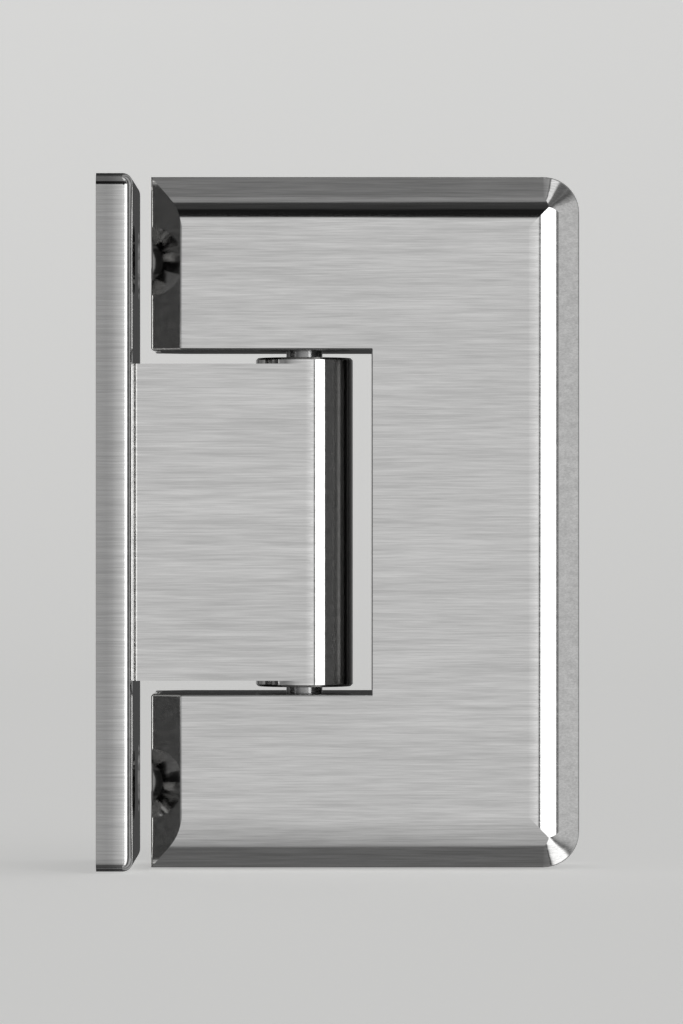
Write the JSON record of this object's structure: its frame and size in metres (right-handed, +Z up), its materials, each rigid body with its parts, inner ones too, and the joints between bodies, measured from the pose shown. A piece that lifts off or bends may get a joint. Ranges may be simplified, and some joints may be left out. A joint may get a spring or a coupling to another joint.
{
  "type": "wall to glass door hinge",
  "caption": "Wall-mounted shower door hinge: bevelled clamp plates hold a glass door and swing both ways on a sprung pin in a fixed block.",
  "frame": {"origin": "centre of the wall plate's back face", "axes": "+X out from the wall, +Z up along the pin, -Y towards the front of the closed door"},
  "size_m": [0.0624, 0.032, 0.09],
  "materials": {
    "steel": "brushed along X, satin",
    "pin": "turned, satin",
    "screw": "machined",
    "spring": "drawn wire",
    "nylon": "matt",
    "gasket": "matt"
  },
  "bodies": {
    "wall_side": {"wall_plate": "steel", "hinge_block": "steel", "block_screw_upper": "screw", "block_screw_lower": "screw", "bush_upper": "nylon", "bush_lower": "nylon", "spring_screw_upper": "screw", "spring_screw_lower": "screw", "detent_spring_upper": "spring", "detent_spring_lower": "spring"},
    "door_side": {"hinge_pin": "pin", "front_clamp_plate": "steel", "back_clamp_plate": "steel", "front_gasket": "gasket", "back_gasket": "gasket", "clamp_screw_upper_inner": "screw", "clamp_screw_upper_outer": "screw", "clamp_screw_lower_inner": "screw", "clamp_screw_lower_outer": "screw", "pin_set_screw_upper": "screw", "pin_set_screw_lower": "screw"},
    "plunger_upper": {"detent_plunger_upper": "screw"},
    "plunger_lower": {"detent_plunger_lower": "screw"}
  },
  "joints": [
    {"name": "door_swing", "type": "hinge", "parent": "wall_side", "child": "door_side", "pos_m": [0.02673, 0, 0], "axis": [0, 0, 1], "range_deg": [-90, 90]},
    {"name": "plunger_upper_slide", "type": "slide", "parent": "wall_side", "child": "plunger_upper", "axis": [1, 0, 0], "range_m": [0, 0.00045], "stiffness_N_per_m": 60, "springref_m": 0.002, "deforming": ["detent_spring_upper"]},
    {"name": "plunger_lower_slide", "type": "slide", "parent": "wall_side", "child": "plunger_lower", "axis": [1, 0, 0], "range_m": [0, 0.00045], "stiffness_N_per_m": 60, "springref_m": 0.002, "deforming": ["detent_spring_lower"]}
  ]
}
